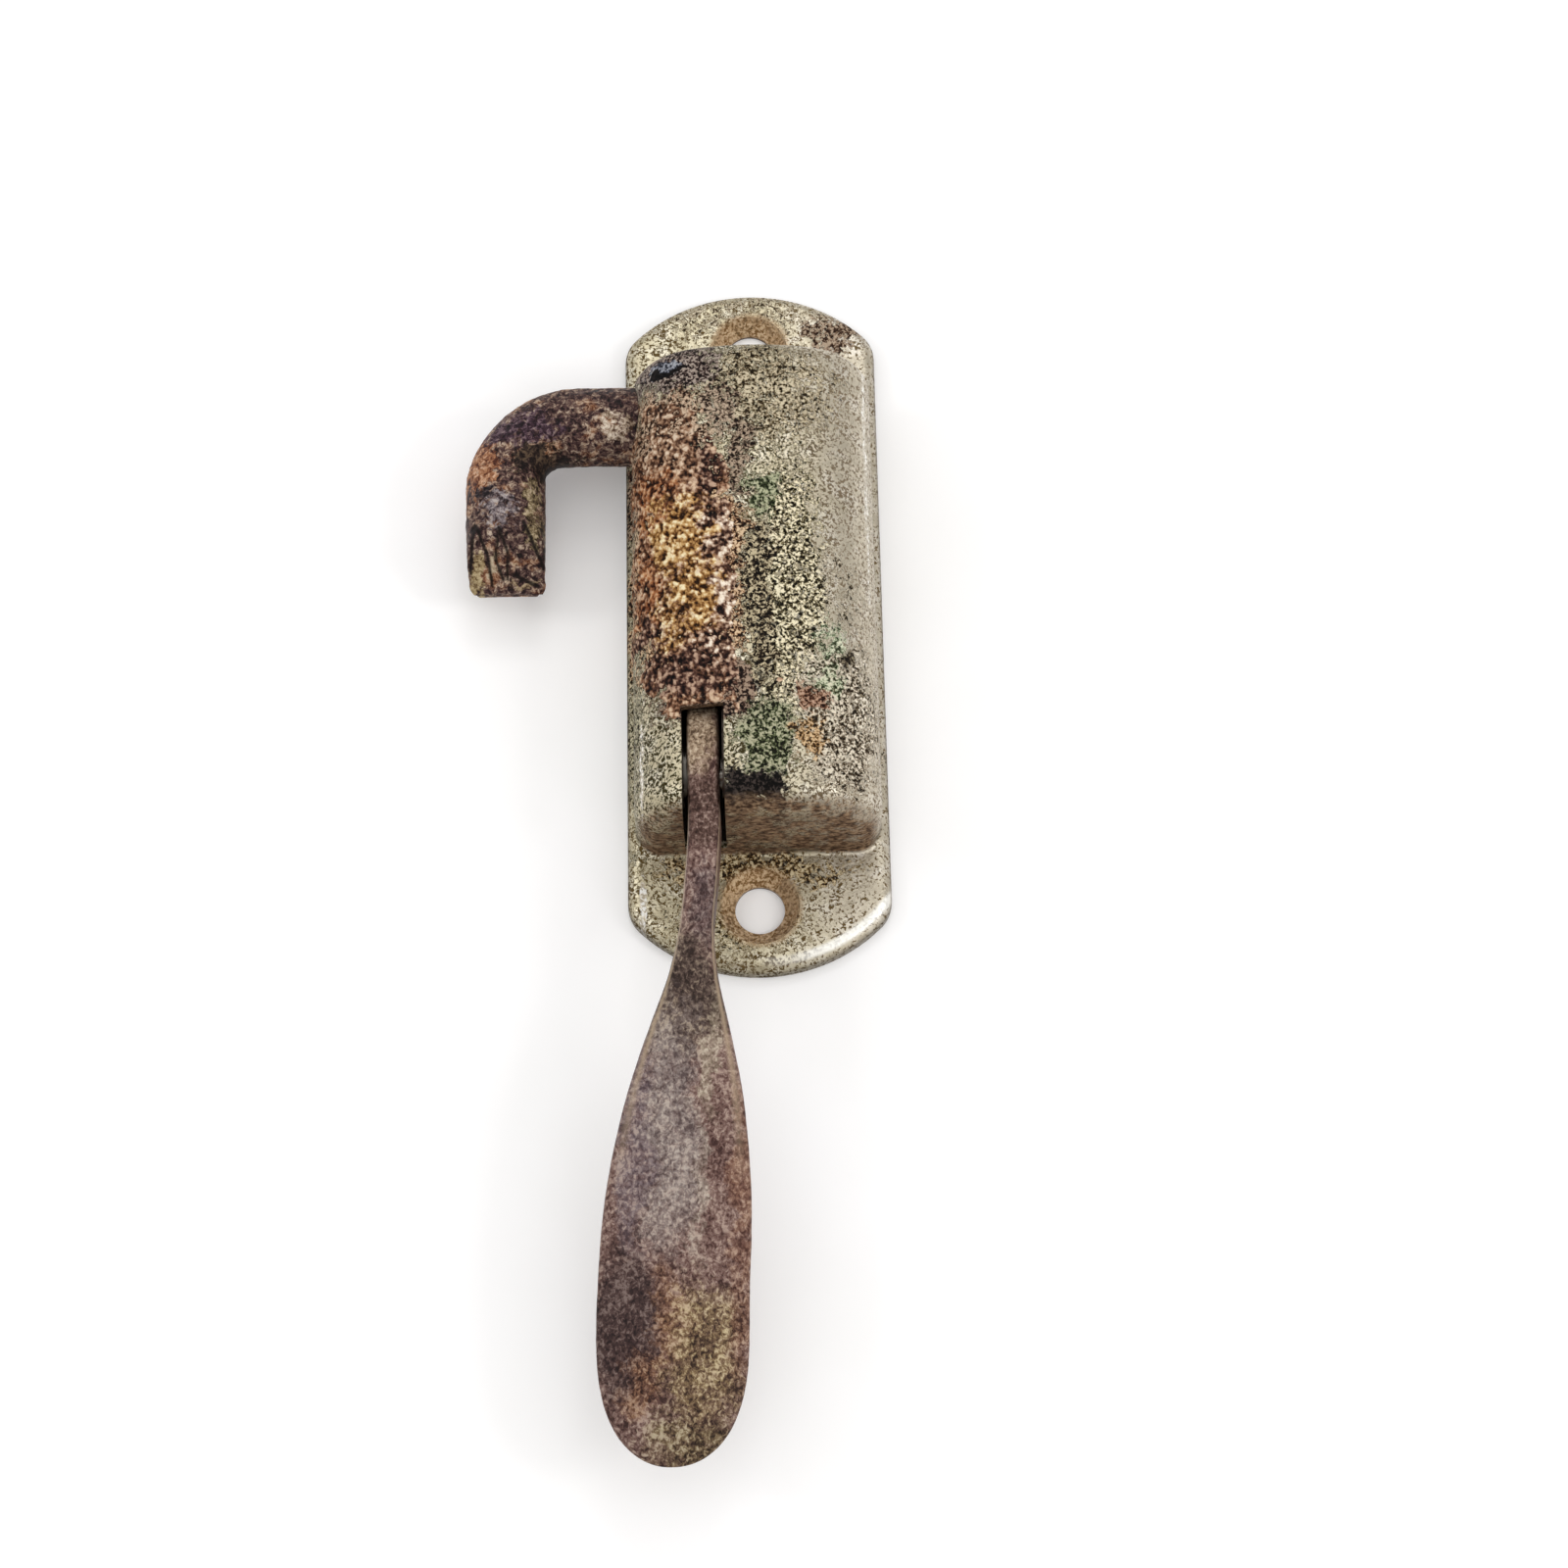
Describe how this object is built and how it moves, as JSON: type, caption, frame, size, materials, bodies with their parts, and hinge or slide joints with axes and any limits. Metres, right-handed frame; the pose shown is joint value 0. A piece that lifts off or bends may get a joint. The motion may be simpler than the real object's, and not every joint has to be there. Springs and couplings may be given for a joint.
{
  "type": "wall-mounted lever can opener",
  "caption": "Wall-mounted lever opener: a screwed-on sheet-metal housing with a swinging hook arm at one side, worked by a spoon-shaped hand lever through hidden cranks and a link.",
  "frame": {"origin": "centre of the flat back face, midway between the two screw holes", "axes": "+X across the housing away from the hook, +Y along the housing towards the hook's shaft, +Z out of the wall"},
  "size_m": [0.0462, 0.1353, 0.0175],
  "materials": {
    "nickelled_sheet": "old nickel plate on sheet steel, dull, speckled brown, with rust crust and green bloom",
    "plain_steel": "plain rolled steel, oily grey-brown",
    "bright_pin": "turned steel, dulled",
    "rusted_bar": "bare round steel bar, dark brown rust with orange and cream patches",
    "forged_steel": "forged steel with a smooth dark brown-purple patina, rusted towards the tip",
    "bush_brass": "turned brass, dull",
    "spring_steel": "blued spring wire"
  },
  "bodies": {
    "wall_unit": {"cover": "nickelled_sheet", "back_plate": "plain_steel", "shaft_bracket": "plain_steel", "shaft_bush_outer": "bush_brass", "shaft_bush_inner": "bush_brass", "stop_pin": "bright_pin", "bracket_rivets": "bright_pin", "return_spring": "spring_steel", "lever_bracket_left": "plain_steel", "lever_bracket_right": "plain_steel", "lever_pivot_pin": "bright_pin", "lever_pivot_washer": "bright_pin", "lever_split_pin": "bright_pin", "lever_side_washer": "bright_pin", "lever_spacer": "bright_pin"},
    "lever_unit": {"lever": "forged_steel", "lever_link_pin": "bright_pin"},
    "link_unit": {"link_bar": "plain_steel", "link_washers": "bright_pin"},
    "hook_unit": {"hook_arm": "rusted_bar", "shaft_crank": "plain_steel", "crank_taper_pin": "bright_pin", "crank_link_pin": "bright_pin", "spring_pin": "bright_pin", "shaft_washer": "bright_pin", "shaft_split_pin": "bright_pin"}
  },
  "joints": [
    {"name": "lever_swing", "type": "hinge", "parent": "wall_unit", "child": "lever_unit", "pos_m": [-0.0057, -0.0205, 0.0093], "axis": [-1, 0, 0], "range_deg": [0, 60], "stiffness_Nm_per_rad": 0.02, "springref_deg": -20.05},
    {"name": "hook_swing", "type": "hinge", "parent": "wall_unit", "child": "hook_unit", "pos_m": [-0.0057, 0.0216, 0.0071], "axis": [-1, 0, 0], "range_deg": [0, 60], "deforming": ["return_spring"]},
    {"name": "link_swing", "type": "hinge", "parent": "lever_unit", "child": "link_unit", "pos_m": [-0.0028, -0.02275, 0.0132], "axis": [-1, 0, 0], "range_deg": [-60, 0]}
  ],
  "couplings": [
    {"joint": "hook_swing", "follows": "lever_swing", "ratio": 1},
    {"joint": "link_swing", "follows": "lever_swing", "ratio": -1}
  ]
}
